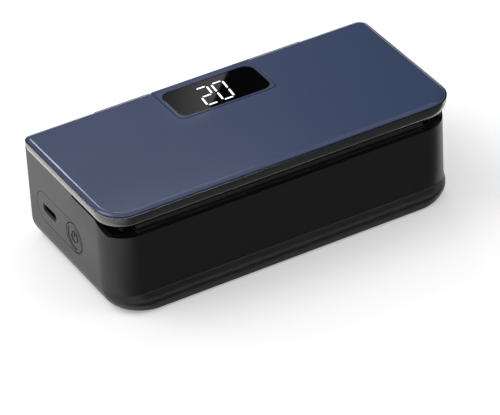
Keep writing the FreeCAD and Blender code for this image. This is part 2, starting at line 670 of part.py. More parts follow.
def make_lid_plate():
    """Coloured panel: a flat slab whose edge falls away, with a rib and bosses under it."""
    plate = prism("lid_plate", "XY_Plane", LID_SEAM, f"({TOP} - plate_fall)",
                  lid_outline("plate_inset"))
    crown = new_body("lid_crown")
    sections = [sketch_on(crown, "XY_Plane", f"({TOP} - plate_fall * {1 - rise})",
                          lid_outline(f"(plate_inset + plate_slope * {rise ** 2})"))
                for rise in (0, 0.5, 1)]
    loft = crown.newObject("PartDesign::AdditiveLoft", "lid_crown_loft")
    loft.Profile = sections[0]
    loft.Sections = sections[1:]
    document.recompute()
    rib = prism("lid_rib", "XY_Plane", f"({LID_SEAM} - plate_rib)", LID_SEAM,
                lid_pocket_outline("panel_gap"))
    cut_pocket(rib, "XY_Plane", f"({LID_SEAM} - plate_rib)", LID_SEAM,
               lid_pocket_outline("(panel_gap + 1.4)"))
    low = f"({LID_BOTTOM} + lid_floor + panel_gap)"
    bosses = [cylinder(f"lid_boss_{index}", "Z", low, LID_SEAM, x, y, "(boss_dia / 2)")
              for index, (x, y) in enumerate(lid_screw_places())]
    bores = [cylinder(f"lid_boss_bore_{index}", "Z", low, LID_SCREW_TOP, x, y,
                      "(screw_dia / 2 + press_fit)")
             for index, (x, y) in enumerate(lid_screw_places())]
    whole = fuse("lid_plate_whole", plate, crown, rib, *bosses)
    finish("lid_top_plate", cut("lid_top_plate", whole, drum("plate_notch", "display_gap"),
                                *bores))


def make_lid():
    make_lid_plate()
    shell = new_body("lid_shell_blank")
    heights = [f"({LID_BOTTOM} + ({LID_SEAM} - {LID_BOTTOM}) * {step} / 4)" for step in range(5)]
    sections = [lid_shell_section(shell, height) for height in heights]
    loft = shell.newObject("PartDesign::AdditiveLoft", "lid_shell_loft")
    loft.Profile = sections[0]
    loft.Sections = sections[1:]
    document.recompute()
    cut_pocket(shell, "XY_Plane", f"({LID_BOTTOM} + lid_floor)", LID_SEAM,
               lid_pocket_outline("0"))
    # the rim of the body stands in this rebate round the sides and the back
    keep = prism("lid_neck", "XY_Plane", f"({LID_BOTTOM} - 1)", LID_REBATE,
                 inset_outline("(wall + nest_gap)"))
    band = prism("lid_band", "XY_Plane", f"({LID_BOTTOM} - 1)", LID_REBATE,
                 outline(f"(0 - {LID_X} - 1)", f"({LID_X} + 1)", f"({LID_FRONT} - 1)",
                         f"({BACK} + 1)"))
    low = f"({LID_BOTTOM} - 2)"
    profile = prism("lid_rebate_profile", "YZ_Plane", f"(0 - {LID_X} - 2)", f"({LID_X} + 2)",
                    polygon([(SLOPE_FRONT, low), (SLOPE_FRONT, LID_BOTTOM),
                             (SLOPE_BACK, f"({RIM_SIDE} + 1)"),
                             (f"({STEP_Y} - 0.5)", "(body_height - 0.4)"),
                             (f"({STEP_Y} - 0.5)", LID_REBATE), (f"({BACK} + 2)", LID_REBATE),
                             (f"({BACK} + 2)", low)]))
    rebate = common("lid_rebate", cut("lid_ring", band, keep), profile)
    knuckles = []
    for tag, side in (("left", -1), ("right", 1)):
        start, end = knuckle_span(side)
        knuckles.append(cylinder(f"knuckle_{tag}", "X", start, end, HINGE_Y, HINGE_Z, "knuckle"))
        knuckles.append(block(f"knuckle_arm_{tag}", start, end, f"({LID_BACK} - 6)", HINGE_Y,
                              f"({HINGE_Z} - knuckle)", LID_SEAM))
    body = fuse("lid_shell_body", cut("lid_shell_cut", shell, rebate), *knuckles)
    bores = []
    for tag, side in (("left", -1), ("right", 1)):
        start, end = knuckle_span(side)
        bores.append(cylinder(f"knuckle_bore_{tag}", "X", f"({start} - 1)", f"({end} + 1)",
                              HINGE_Y, HINGE_Z, "(pin_dia / 2 + running_fit)"))
    groove = seal_ring("lid_groove", LID_BOTTOM, f"({LID_BOTTOM} + seal_groove)", "seat_gap")
    strip_bed = strip_block("strip_bed", f"({HEATER_LENGTH} + seat_gap)",
                            "(heater_width + seat_gap)", LID_BOTTOM,
                            f"({LID_BOTTOM} + strip_groove)")
    left, right = centred(TROUGH_LENGTH)
    recess = prism("lid_recess", "XY_Plane", LID_BOTTOM, f"({LID_BOTTOM} + chamber_recess)",
                   outline(left, right, TROUGH_FRONT, TROUGH_BACK, "trough_corner",
                           "trough_corner"))
    screw_bores = [cylinder(f"lid_bore_{index}", "Z", "0", LID_SEAM, x, y,
                            "(screw_dia / 2 + press_fit)")
                   for index, (x, y) in enumerate(lid_screw_places())]
    screw_heads = [cylinder(f"lid_head_{index}", "Z", "0", f"({LID_BOTTOM} + head_height)", x, y,
                            "(screw_head / 2 + seat_gap)")
                   for index, (x, y) in enumerate(lid_screw_places())]
    finish("lid_lower_shell",
           cut("lid_lower_shell", body, drum("shell_notch", "display_gap"), groove, strip_bed,
               recess, *bores, *screw_bores, *screw_heads, *ear_clearances("lid")))
    finish("lid_seal", seal_ring("lid_seal", UPPER_SEAL_BOTTOM, f"({LID_BOTTOM} + seal_groove)",
                                 "0"))
    finish("pressure_strip", strip_block("pressure_strip", HEATER_LENGTH, "heater_width",
                                         f"({STACK_TOP} + seal_gap)",
                                         f"({LID_BOTTOM} + strip_groove)"))
    screws("lid_screws", lid_screw_places(), f"({LID_BOTTOM} + 0.2)",
           f"({LID_BOTTOM} + head_height)", f"({LID_SCREW_TOP} - 0.1)")


def lid_screw_places():
    x = f"({LID_X} - lid_tuck - lid_rim - boss_dia / 2 - 1)"
    return [(negative(x), f"({SEAL_BACK} + 9)"), (x, f"({SEAL_BACK} + 9)"),
            (negative("(display_width / 2 + 12)"), f"({SEAL_BACK} + 9)"),
            ("(display_width / 2 + 12)", f"({SEAL_BACK} + 9)")]


def make_hinge_pins():
    for tag, side, edge in (("left", -1, BLOCK_LEFT), ("right", 1, BLOCK_RIGHT)):
        ear = ear_span(side)
        inner = f"({edge} - pin_hold)" if side > 0 else f"({edge} + pin_hold)"
        start, end = (inner, f"({ear[1]} - 1)") if side > 0 else (f"({ear[0]} + 1)", inner)
        finish(f"hinge_pin_{tag}", cylinder(f"hinge_pin_{tag}", "X", start, end, HINGE_Y,
                                            HINGE_Z, "(pin_dia / 2)"))


# ---------------------------------------------------------------- display
LENS_LEFT = "(display_shift - lens_width / 2)"
LENS_RIGHT = "(display_shift + lens_width / 2)"
LENS_BACK = f"({LID_BACK} - display_lead - lens_margin)"
LENS_FRONT = f"({LENS_BACK} - lens_depth)"
LENS_TOP = f"({TOP} - lens_sink)"
LENS_BOTTOM = f"({LENS_TOP} - lens_thick)"
DIGIT_X = "(display_shift - digit_shift - (digit_width + digit_pitch) / 2)"
DIGIT_Y = f"(({LENS_FRONT} + {LENS_BACK}) / 2 - digit_drop)"
SEGMENTS = {"2": "abged", "0": "abcdef"}      # lit bars, a to g clockwise from the top


def segment_places(digit, left, low):
    """Middle line of each lit bar of a digit: x0, y0, x1, y1."""
    width, height = "(digit_width - digit_stroke)", "(digit_height - digit_stroke)"
    x0, x1 = f"({left} + digit_stroke / 2)", f"({left} + digit_stroke / 2 + {width})"
    y0, y2 = f"({low} + digit_stroke / 2)", f"({low} + digit_stroke / 2 + {height})"
    y1 = f"(({y0} + {y2}) / 2)"
    bars = {"a": (x0, y2, x1, y2), "b": (x1, y1, x1, y2), "c": (x1, y0, x1, y1),
            "d": (x0, y0, x1, y0), "e": (x0, y0, x0, y1), "f": (x0, y1, x0, y2),
            "g": (x0, y1, x1, y1)}
    return [bars[name] for name in SEGMENTS[digit]]


def segment_outline(x0, y0, x1, y1):
    """Bar with pointed ends along X or Y."""
    half, tip = "(digit_stroke / 2)", "(digit_stroke / 2 + digit_gap)"
    near = "digit_gap"
    if y0 == y1:
        a, b = f"({x0} + {near})", f"({x1} - {near})"
        points = [(a, y0), (f"({x0} + {tip})", f"({y0} - {half})"),
                  (f"({x1} - {tip})", f"({y0} - {half})"), (b, y0),
                  (f"({x1} - {tip})", f"({y0} + {half})"),
                  (f"({x0} + {tip})", f"({y0} + {half})")]
    else:
        a, b = f"({y0} + {near})", f"({y1} - {near})"
        points = [(x0, a), (f"({x0} + {half})", f"({y0} + {tip})"),
                  (f"({x0} + {half})", f"({y1} - {tip})"), (x0, b),
                  (f"({x0} - {half})", f"({y1} - {tip})"),
                  (f"({x0} - {half})", f"({y0} + {tip})")]
    return polygon([(f"({u} + ({v} - {DIGIT_Y}) * digit_slant)", v) for u, v in points])


def make_display():
    upper = prism("block_upper", "XY_Plane", DECK_TOP, TOP,
                  outline(BLOCK_LEFT, BLOCK_RIGHT, f"({BLOCK_FRONT} - 6)",
                          f"({LID_BACK} - display_lead)"))
    round_edges(upper, "(edge_break + 0.4)", lambda edge: level_edge(TOP)(edge)
                and edge.BoundBox.YMin > number(BLOCK_FRONT))
    core = common("block_core", upper, drum("block_drum", "0"))
    barrel = cylinder("block_barrel", "X", BLOCK_LEFT, BLOCK_RIGHT, HINGE_Y, HINGE_Z, "knuckle")
    heel = block("block_heel", BLOCK_LEFT, BLOCK_RIGHT, f"({LID_BACK} - 8)",
                 f"({INNER_BACK} - 0.2)", DECK_TOP, HINGE_Z)
    whole = fuse("block_whole", core, barrel, heel)
    inside = block("block_inside", f"({BLOCK_LEFT} + pin_hold + 1)",
                   f"({BLOCK_RIGHT} - pin_hold - 1)", f"({LENS_FRONT} + 1.5)",
                   f"({LENS_BACK} - 1)", DECK_TOP, f"({LENS_BOTTOM} - 1.2)")
    window = block("block_window", f"({LENS_LEFT} + 7)", f"({LENS_RIGHT} - 7)",
                   f"({LENS_FRONT} + 1.5)", f"({LENS_BACK} - 2)", DECK_TOP, TOP)
    bed = prism("block_bed", "XY_Plane", LENS_BOTTOM, f"({TOP} + 1)",
                outline(f"({LENS_LEFT} - seat_gap)", f"({LENS_RIGHT} + seat_gap)",
                        f"({LENS_FRONT} - seat_gap)", f"({LENS_BACK} + seat_gap)",
                        "(lens_corner + seat_gap)", "(lens_corner + seat_gap)"))
    bore = cylinder("block_bore", "X", negative(LID_X), LID_X, HINGE_Y, HINGE_Z,
                    "(pin_dia / 2 + press_fit)")
    finish("display_housing", cut("display_housing", whole, inside, window, bed, bore))

    lens = prism("lens_blank", "XY_Plane", LENS_BOTTOM, LENS_TOP,
                 outline(LENS_LEFT, LENS_RIGHT, LENS_FRONT, LENS_BACK, "lens_corner",
                         "lens_corner"))
    low = f"({DIGIT_Y} - digit_height / 2)"
    bars = (segment_places("2", DIGIT_X, low)
            + segment_places("0", f"({DIGIT_X} + digit_pitch)", low))
    windows = [prism(f"lens_window_{index}", "XY_Plane", LENS_BOTTOM, LENS_TOP,
                     segment_outline(*bar)) for index, bar in enumerate(bars)]
    finish("display_lens", cut("display_lens", lens, *windows))
    lights = [prism(f"digit_bar_{index}", "XY_Plane", LENS_BOTTOM, LENS_TOP,
                    segment_outline(*bar)) for index, bar in enumerate(bars)]
    finish("digit_segments", group("digit_segments", *lights))
    finish("display_board", block("display_board", f"({LENS_LEFT} + 8)", f"({LENS_RIGHT} - 8)",
                                  f"({LENS_FRONT} + 3.5)", f"({LENS_BACK} - 2.5)",
                                  f"({LENS_BOTTOM} - led_height - board_thick)",
                                  f"({LENS_BOTTOM} - led_height)"))
    finish("led_module", block("led_module", f"({DIGIT_X} - 2)",
                               f"({DIGIT_X} + digit_pitch * 2 + 1)",
                               f"({DIGIT_Y} - digit_height / 2 - 0.6)",
                               f"({DIGIT_Y} + digit_height / 2 + 0.6)",
                               f"({LENS_BOTTOM} - led_height)", LENS_BOTTOM))


# ---------------------------------------------------------------- control panel
def make_control_panel():
    hole = "(button_dia / 2 + button_gap)"
    panel = prism("panel", "YZ_Plane", FACE_X, f"({FACE_X} + wall)",
                  slot(f"({PILL_FRONT} + panel_gap)", f"({PILL_BACK} - panel_gap)", "pill_z",
                       "(pill_height / 2 - panel_gap)"))
    raise_pad(panel, "YZ_Plane", f"({FACE_X} + wall)", PANEL_INNER,
              slot(f"({PILL_FRONT} - panel_lip)", f"({PILL_BACK} + panel_lip)", "pill_z",
                   "(pill_height / 2 + panel_lip)"))
    cut_pocket(panel, "YZ_Plane", FACE_X, PANEL_INNER, disc(BUTTON_Y, "pill_z", hole))
    cut_pocket(panel, "YZ_Plane", FACE_X, PANEL_INNER,
               slot(f"({SOCKET_Y} - socket_length / 2)", f"({SOCKET_Y} + socket_length / 2)",
                    "pill_z", "(socket_height / 2)"))
    posts = [cylinder(f"panel_post_{index}", "X", PANEL_INNER, BOARD_X, y, "(pill_z)", "1.6")
             for index, y in enumerate((f"({SOCKET_Y} - socket_length / 2 - 3.6)",
                                        f"({SOCKET_Y} + socket_length / 2 + 3.6)"))]
    finish("side_panel", fuse("side_panel", panel, *posts))

    button = new_body("power_button")
    raise_pad(button, "YZ_Plane", FACE_X, f"({PANEL_INNER} + 0.3)",
              disc(BUTTON_Y, "pill_z", "(button_dia / 2)"))
    raise_pad(button, "YZ_Plane", f"({PANEL_INNER} + 0.3)", f"({PANEL_INNER} + 1.3)",
              disc(BUTTON_Y, "pill_z", f"({hole} + 0.5)"))
    raise_pad(button, "YZ_Plane", f"({PANEL_INNER} + 1.3)",
              f"({BOARD_X} - 3.6 - button_travel - 0.3)", disc(BUTTON_Y, "pill_z", "1.5"))
    finish("power_button", button)

    finish("panel_board", block("panel_board", BOARD_X, f"({BOARD_X} + board_thick)",
                                f"({PILL_FRONT} - 0.5)", f"({PILL_BACK} + 0.5)",
                                "(pill_z - pill_height / 2)", "(pill_z + pill_height / 2)"))
    switch = block("switch_case", f"({BOARD_X} - 2.6)", BOARD_X, f"({BUTTON_Y} - 3)",
                   f"({BUTTON_Y} + 3)", "(pill_z - 3)", "(pill_z + 3)")
    plunger = cylinder("switch_plunger", "X", f"({BOARD_X} - 3.6)", f"({BOARD_X} - 2.6)",
                       BUTTON_Y, "pill_z", "1.5")
    finish("button_switch", fuse("button_switch", switch, plunger))

    front = f"({FACE_X} + socket_depth)"
    port = new_body("charge_port")
    raise_pad(port, "YZ_Plane", front, BOARD_X,
              slot(f"({SOCKET_Y} - plug_length / 2)", f"({SOCKET_Y} + plug_length / 2)", "pill_z",
                   "(plug_height / 2)"))
    cut_pocket(port, "YZ_Plane", front, f"({BOARD_X} - 1.5)",
               slot(f"({SOCKET_Y} - plug_length / 2 + 0.3)",
                    f"({SOCKET_Y} + plug_length / 2 - 0.3)", "pill_z", "(plug_height / 2 - 0.3)"))
    raise_pad(port, "YZ_Plane", f"({front} + 1)", f"({BOARD_X} - 1.5)",
              outline(f"({SOCKET_Y} - 3.3)", f"({SOCKET_Y} + 3.3)", "(pill_z - 0.35)",
                      "(pill_z + 0.35)"))
    finish("charge_port", port)


# ---------------------------------------------------------------- inside the body
def make_inside():
    head_start = "(pump_x + motor_length)"
    head_end = f"({head_start} + pump_head_length)"
    reach = "(pump_dia / 2)"
    motor = cylinder("motor_can", "X", "pump_x", head_start, PUMP_Y, PUMP_Z, reach)
    finish("pump_motor", motor)
    head = prism("pump_head_block", "XY_Plane", f"({PUMP_Z} - {reach} - 0.2)",
                 f"({PUMP_Z} + {reach})",
                 outline(head_start, head_end, f"({PUMP_Y} - {reach})", f"({PUMP_Y} + {reach})",
                         "3", "3"))
    spout = cylinder("pump_spout", "X", head_end, f"({head_end} + 6)", PUMP_Y, PUMP_Z,
                     "(nozzle_dia / 2)")
    finish("pump_head", fuse("pump_head", head, spout))
    saddle = block("saddle_block", "(pump_x + 6)", "(pump_x + 22)", f"({PUMP_Y} - {reach} - 2)",
                   f"({PUMP_Y} + {reach} + 2)", "base_seam", f"({PUMP_Z} + 3)")
    saddle_bore = cylinder("saddle_bore", "X", "(pump_x + 5)", "(pump_x + 23)", PUMP_Y,
                           PUMP_Z, f"({reach} + press_fit)")
    finish("pump_bracket", cut("pump_bracket", saddle, saddle_bore))
    pad = block("pump_pad_block", f"({head_start} + 2)", f"({head_end} - 2)",
                f"({PUMP_Y} - {reach} + 1)", f"({PUMP_Y} + {reach} - 1)", "base_seam",
                f"({PUMP_Z} - {reach} - 0.2)")
    finish("pump_pad", pad)

    cradle = block("cradle_block", "(cell_x - 2.2)", "(cell_x + cell_length + 2.2)",
                   f"({CELL_Y} - cell_pitch - cell_dia / 2 - cradle_wall)",
                   f"({CELL_Y} + cell_dia / 2 + cradle_wall)",
                   "base_seam", f"({CELL_Z} + 1)")
    beds = []
    for index in range(2):
        y = f"({CELL_Y} - cell_pitch * {index})"
        beds.append(cylinder(f"cell_bed_{index}", "X", "(cell_x - 0.2)",
                             "(cell_x + cell_length + 0.2)", y, CELL_Z, "(cell_dia / 2 + 0.1)"))
        finish(f"battery_cell_{index + 1}",
               cylinder(f"battery_cell_{index + 1}", "X", "cell_x", "(cell_x + cell_length)",
                        y, CELL_Z, "(cell_dia / 2)"))
    finish("battery_cradle", cut("battery_cradle", cradle, *beds))

    low, high = centred("main_board_width")
    board = block("main_board_plate", MAIN_BOARD_X, f"({MAIN_BOARD_X} + main_board_length)",
                  low, high, "main_board_z", MAIN_BOARD_TOP)
    holes = [cylinder(f"board_hole_{index}", "Z", "0", RIM_FRONT, x, y, "1.05")
             for index, (x, y) in enumerate(board_post_places())]
    finish("main_board", cut("main_board", board, *holes))
    screws("board_screws", board_post_places(), MAIN_BOARD_TOP, f"({MAIN_BOARD_TOP} + 1.4)",
           "(main_board_z + 0.1)", "4", "2")
    finish("capacitors", group("capacitors", *[
        cylinder(f"capacitor_{index}", "Z", MAIN_BOARD_TOP, f"({MAIN_BOARD_TOP} + 12)",
                 f"({MAIN_BOARD_X} + {18 + 12 * index})", "12", "4") for index in range(2)]))
    finish("heat_sink", block("heat_sink", f"({MAIN_BOARD_X} + 40)", f"({MAIN_BOARD_X} + 56)",
                              "-18", "-2", MAIN_BOARD_TOP, f"({MAIN_BOARD_TOP} + 9)"))
    finish("air_hose", make_hose())


def make_hose():
    """Silicone hose from the pump's spout to the port under the trough, arcs at its bends."""
    spout = Vector(number("(pump_x + motor_length + pump_head_length + 6)"),
                   number(PUMP_Y), number(PUMP_Z))
    port = Vector(number(SUCTION[0]), number(SUCTION[1]),
                  number(STEM_BOTTOM))
    knee = Vector(port.x, port.y, spout.z)
    turn = Vector(port.x, spout.y, spout.z)
    points = [port, knee, turn, spout]
    edges, start = [], points[0]
    for before, corner, after in zip(points, points[1:], points[2:]):
        run_in, run_out = (corner - before), (after - corner)
        bend = 0.45 * min(run_in.Length, run_out.Length)
        first = corner - run_in.normalize() * bend
        last = corner + run_out.normalize() * bend
        centre = first + run_out * bend
        middle = centre + (corner - centre).normalize() * bend
        edges.append(Part.LineSegment(start, first).toShape())
        edges.append(Part.Arc(first, middle, last).toShape())
        start = last
    edges.append(Part.LineSegment(start, points[-1]).toShape())
    path = Part.Wire(edges)
    outer = Part.Wire(Part.makeCircle(number("hose_dia") / 2, points[0], Vector(0, 0, -1)))
    hose = document.addObject("Part::Feature", "air_hose")
    hose.Shape = path.makePipeShell([outer], True, False)
    length = path.Length
    expected = math.pi * (number("hose_dia") / 2) ** 2 * length
    print(f"hose: length {length:.1f} mm, volume ratio {hose.Shape.Volume / expected:.3f}")
    return hose


# ---------------------------------------------------------------- assembly
make_body_shell()
make_base()
make_deck()
make_seals_and_heater()
make_lid()
make_hinge_pins()
make_display()
make_control_panel()
make_inside()
screws("base_screws", list(boss_places().values()), "(foot_proud + 0.2)",
       "(base_seam - head_height)", "16")
screws("deck_screws", list(boss_places().values()), f"({DECK_TOP} - head_height)",
       f"({DECK_TOP} - 0.1)", "28")

document.recompute()
for thing in document.Objects:
    if "Invalid" in thing.State or "Error" in thing.State:
        raise RuntimeError(f"{thing.Name} failed: {thing.State}")
for node in NODES:
    if node.Shape.isNull() or not node.Shape.isValid() or not node.Shape.Solids:
        raise RuntimeError(f"{node.Label} has no valid shape")

os.makedirs("parts", exist_ok=True)
for node in NODES:
    node.Shape.exportStep(f"parts/{node.Label}.step")
print(len(NODES), "sub-parts written")
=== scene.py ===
import math

import bmesh
import bpy
from mathutils import Matrix, Vector


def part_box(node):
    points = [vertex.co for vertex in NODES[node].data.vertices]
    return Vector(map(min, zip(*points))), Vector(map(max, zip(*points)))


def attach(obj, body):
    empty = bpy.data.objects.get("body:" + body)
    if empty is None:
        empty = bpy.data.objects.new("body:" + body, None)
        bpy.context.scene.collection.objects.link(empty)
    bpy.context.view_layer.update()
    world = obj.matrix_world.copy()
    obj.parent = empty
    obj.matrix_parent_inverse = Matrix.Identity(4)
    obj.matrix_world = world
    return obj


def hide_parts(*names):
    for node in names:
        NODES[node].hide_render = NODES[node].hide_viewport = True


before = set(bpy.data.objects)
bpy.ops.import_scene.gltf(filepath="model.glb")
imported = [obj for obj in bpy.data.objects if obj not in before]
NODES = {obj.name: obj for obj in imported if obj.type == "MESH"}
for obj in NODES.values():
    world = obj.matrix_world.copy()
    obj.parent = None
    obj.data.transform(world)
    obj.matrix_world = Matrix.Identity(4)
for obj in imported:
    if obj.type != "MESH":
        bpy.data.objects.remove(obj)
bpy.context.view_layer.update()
MM = 0.001


# ------------------------------------------------------------------ materials
def linear(code, alpha=1.0):
    """sRGB hex colour as the linear values that a shader socket takes."""
    parts = [int(code[i:i + 2], 16) / 255 for i in (1, 3, 5)]
    return tuple(c / 12.92 if c <= 0.04045 else ((c + 0.055) / 1.055) ** 2.4
                 for c in parts) + (alpha,)


def add_node(tree, kind, settings=None, inputs=None):
    """One node with its settings; inputs maps an input's name to a value or to an output."""
    node = tree.nodes.new(kind)
    for name, value in (settings or {}).items():
        setattr(node, name, value)
    for name, value in (inputs or {}).items():
        if isinstance(value, bpy.types.NodeSocket):
            tree.links.new(value, node.inputs[name])
        else:
            node.inputs[name].default_value = value
    return node


def start_material(name, sockets):
    """Material with one surface shader; constants are set on the shader's own sockets."""
    material = bpy.data.materials.new(name)
    material.use_nodes = True
    tree = material.node_tree
    tree.nodes.clear()
    shader = add_node(tree, "ShaderNodeBsdfPrincipled", inputs=sockets)
    add_node(tree, "ShaderNodeOutputMaterial", inputs={"Surface": shader.outputs["BSDF"]})
    return material, tree, shader


def grained(name, shade, deep, rough, grain, depth, cloud=22, spread=0.05, stretch=(1, 1, 1),
            **sockets):
    """Moulded, cast or painted skin: two close shades in soft clouds, a fine grain that
    lifts the surface by depth, and a gloss that drifts by spread. grain and cloud in mm."""
    material, tree, shader = start_material(
        name, {key.replace("_", " "): value for key, value in sockets.items()})
    place = add_node(tree, "ShaderNodeTexCoord").outputs["Object"]
    along = add_node(tree, "ShaderNodeMapping", inputs={"Vector": place, "Scale": stretch})
    fine = add_node(tree, "ShaderNodeTexNoise", inputs={
        "Vector": along.outputs["Vector"], "Scale": 1 / (grain * MM), "Detail": 3.0})
    wide = add_node(tree, "ShaderNodeTexNoise", inputs={
        "Vector": place, "Scale": 1 / (cloud * MM), "Detail": 2.0})
    colour = add_node(tree, "ShaderNodeMix", {"data_type": "RGBA"}, {
        0: wide.outputs["Fac"], 6: linear(shade), 7: linear(deep)})
    gloss = add_node(tree, "ShaderNodeMapRange", {"interpolation_type": "SMOOTHERSTEP"}, {
        "Value": wide.outputs["Fac"], "From Min": 0.15, "From Max": 0.85,
        "To Min": rough - spread, "To Max": rough + spread})
    lift = add_node(tree, "ShaderNodeBump", inputs={
        "Height": fine.outputs["Fac"], "Strength": 1.0, "Distance": depth * MM})
    tree.links.new(colour.outputs[2], shader.inputs["Base Color"])
    tree.links.new(gloss.outputs["Result"], shader.inputs["Roughness"])
    tree.links.new(lift.outputs["Normal"], shader.inputs["Normal"])
    return material


def woven_tape():
    """PTFE coated glass cloth: brown, painted darker to near black to stand for the shade in the
    mouth under the lid, slightly greasy sheen, with the cloth's plain weave showing through as a
    fine grid. Threads lie 0.5 mm apart, drawn at 0.9 mm to show."""
    material, tree, shader = start_material("ptfe_glass_cloth_painted_shade", {"Specular IOR Level": 0.4})
    place = add_node(tree, "ShaderNodeTexCoord").outputs["Object"]
    waves = [add_node(tree, "ShaderNodeTexWave", {"bands_direction": way}, {
        "Vector": place, "Scale": 0.314 / (0.9 * MM), "Distortion": 0.4})
        for way in ("X", "Y")]
    weave = add_node(tree, "ShaderNodeMath", {"operation": "MULTIPLY"}, {
        0: waves[0].outputs["Fac"], 1: waves[1].outputs["Fac"]})
    # both browns are near black: painted shade for the tape lying in the shaded mouth under the
    # lid
    colour = add_node(tree, "ShaderNodeMix", {"data_type": "RGBA"}, {
        0: weave.outputs[0], 6: linear("#1c1510"), 7: linear("#352718")})
    gloss = add_node(tree, "ShaderNodeMapRange", inputs={
        "Value": weave.outputs[0], "To Min": 0.5, "To Max": 0.36})
    lift = add_node(tree, "ShaderNodeBump", inputs={
        "Height": weave.outputs[0], "Strength": 0.8, "Distance": 0.06 * MM})
    tree.links.new(colour.outputs[2], shader.inputs["Base Color"])
    tree.links.new(gloss.outputs["Result"], shader.inputs["Roughness"])
    tree.links.new(lift.outputs["Normal"], shader.inputs["Normal"])
    return material


def led_light():
    """Milky light-pipe plastic lit from behind: white, its glow a touch uneven in soft patches."""
    material, tree, shader = start_material("led_light_pipe", {
        "Base Color": linear("#f2f4f6"), "Roughness": 0.35,
        "Emission Color": linear("#ffffff")})
    place = add_node(tree, "ShaderNodeTexCoord").outputs["Object"]
    wide = add_node(tree, "ShaderNodeTexNoise", inputs={"Vector": place, "Scale": 1 / (3 * MM)})
    level = add_node(tree, "ShaderNodeMapRange", inputs={
        "Value": wide.outputs["Fac"], "To Min": 0.75, "To Max": 0.95})
    tree.links.new(level.outputs["Result"], shader.inputs["Emission Strength"])
    return material


FINISH = {
    # satin lacquer over ABS: deep blue, even, with a faint orange-peel skin
    "lid_paint": grained("satin_lacquer_blue", "#374668", "#324163", 0.36, 1.1, 0.003,
                         cloud=60, spread=0.02, Specular_IOR_Level=0.25, Coat_Weight=0.7,
                         Coat_Roughness=0.07),
    # polished ABS: near black, mirror-like where it turns away from the eye
    "lid_black": grained("polished_abs_lid", "#101113", "#0c0d0f", 0.16, 1.4, 0.003, spread=0.03,
                         Specular_IOR_Level=0.8, Coat_Weight=1.0, Coat_Roughness=0.06),
    "body_black": grained("satin_abs_body", "#121213", "#0d0d0e", 0.34, 0.5, 0.006,
                          spread=0.03),
    "base_black": grained("satin_abs_base", "#111112", "#0d0d0e", 0.38, 0.5, 0.008, spread=0.03),
    # spark-eroded mould texture: dull black with a fine even grain
    "deck_black": grained("spark_grain_abs", "#17181a", "#131416", 0.5, 0.45, 0.05),
    # smoked acrylic: black mirror
    "display_glass": grained("smoked_acrylic", "#020203", "#010102", 0.025, 6.0, 0.0001,
                             spread=0.01),
    "digit_white": led_light(),
    # silicone foam: dark grey, painted darker still as shade for the seals and strip in the mouth
    # under the lid; soft, dusty sheen
    "seal_silicone": grained("silicone_sponge_painted_shade", "#1d1e1f", "#17181a", 0.62, 0.35, 0.06,
                             Sheen_Weight=0.15),
    "foot_rubber": grained("foot_rubber", "#1b1b1c", "#151516", 0.78, 0.3, 0.04,
                           Sheen_Weight=0.1),
    # heater tape: its brown is painted darker as shade for the shaded mouth
    "tape": woven_tape(),
    # zinc-plated steel: bright, faint drawn streaks
    "steel": grained("zinc_plated_steel", "#bfc2c6", "#a9adb2", 0.3, 0.4, 0.006, Metallic=1.0),
    "nickel": grained("nickel_plate", "#c9c3b8", "#b5afa5", 0.24, 0.5, 0.004, Metallic=1.0),
    "heat_alloy": grained("extruded_aluminium", "#b9bcc0", "#a5a8ad", 0.36, 0.3, 0.01,
                          stretch=(0.08, 1, 1), Metallic=1.0),
    # solder-masked glass epoxy: green with a darker copper shadow
    "board_green": grained("solder_mask_green", "#1f5f3a", "#16482b", 0.35, 1.0, 0.02, cloud=5),
    "part_black": grained("nylon_black", "#1a1a1c", "#141416", 0.5, 0.4, 0.02),
    # PVC shrink wrap: blue, smooth, slightly uneven
    "cell_wrap": grained("pvc_shrink_wrap", "#2a6aa6", "#235c92", 0.3, 2.5, 0.03, cloud=12),
}
for node in NODES.values():
    node.data.materials[0] = FINISH[node.data.materials[0].name]


# ------------------------------------------------------------------ modelling helpers
def deselect():
    if bpy.context.object and bpy.context.object.mode != "OBJECT":
        bpy.ops.object.mode_set(mode="OBJECT")
    bpy.ops.object.select_all(action="DESELECT")


def settle(piece):
    """Place, turn and size go into the mesh, so the object sits at the origin."""
    deselect()
    piece.select_set(True)
    bpy.context.view_layer.objects.active = piece
    bpy.ops.object.transform_apply(location=True, rotation=True, scale=True)
    return piece


def named(name):
    piece = bpy.context.object
    piece.name = piece.data.name = name
    return settle(piece)


def block(name, low, high):
    """Box between two corners in mm, ready to be shaped."""
    deselect()
    middle = [(a + b) / 2 * MM for a, b in zip(low, high)]
    bpy.ops.mesh.primitive_cube_add(size=1, location=middle,
                                    scale=[(b - a) * MM for a, b in zip(low, high)])
    return named(name)


def rod(name, start, length, size, axis, sides=64):
    """Round bar from start along an axis, in mm."""
    deselect()
    way = {"X": Vector((1, 0, 0)), "Y": Vector((0, 1, 0)), "Z": Vector((0, 0, 1))}[axis]
    turn = {"X": (0, math.pi / 2, 0), "Y": (-math.pi / 2, 0, 0), "Z": (0, 0, 0)}[axis]
    bpy.ops.mesh.primitive_cylinder_add(vertices=sides, radius=size * MM, depth=length * MM,
                                        location=(Vector(start) + way * length / 2) * MM,
                                        rotation=turn)
    return named(name)


def shape(piece):
    """Enter edit mode with nothing selected; returns the mesh being edited."""
    deselect()
    piece.select_set(True)
    bpy.context.view_layer.objects.active = piece
    bpy.ops.object.mode_set(mode="EDIT")
    bpy.ops.mesh.select_all(action="DESELECT")
    return bmesh.from_edit_mesh(piece.data)


def pick_faces(piece, choose):
    """Select the faces that choose(centre in mm, normal) accepts."""
    mesh = shape(piece)
    bpy.ops.mesh.select_mode(type="FACE")
    mesh = bmesh.from_edit_mesh(piece.data)
    for face in mesh.faces:
        face.select_set(bool(choose(face.calc_center_median() / MM, face.normal)))
    mesh.select_flush_mode()
    bmesh.update_edit_mesh(piece.data)


